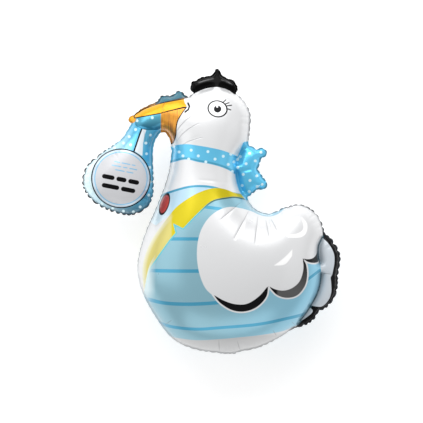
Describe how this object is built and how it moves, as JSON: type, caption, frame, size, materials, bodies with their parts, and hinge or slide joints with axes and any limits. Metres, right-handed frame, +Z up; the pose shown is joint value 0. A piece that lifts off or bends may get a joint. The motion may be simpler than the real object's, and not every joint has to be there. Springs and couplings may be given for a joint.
{
  "type": "stork foil balloon",
  "caption": "Inflated stork-shaped foil balloon with beret, bundle, bow and scalloped wing, lying on its back sheet for party decoration.",
  "frame": {"origin": "centre of the small flat spot that the balloon lies on, under its belly", "axes": "+Z up through the thickness towards the front sheet, +Y towards the beret, -X towards the beak"},
  "size_m": [0.722, 0.799, 0.2793],
  "materials": {
    "printed_foil": "satin printed metallised film, mostly white and pale blue"
  },
  "bodies": {
    "root": {"foil_envelope": "printed_foil"}
  },
  "joints": []
}
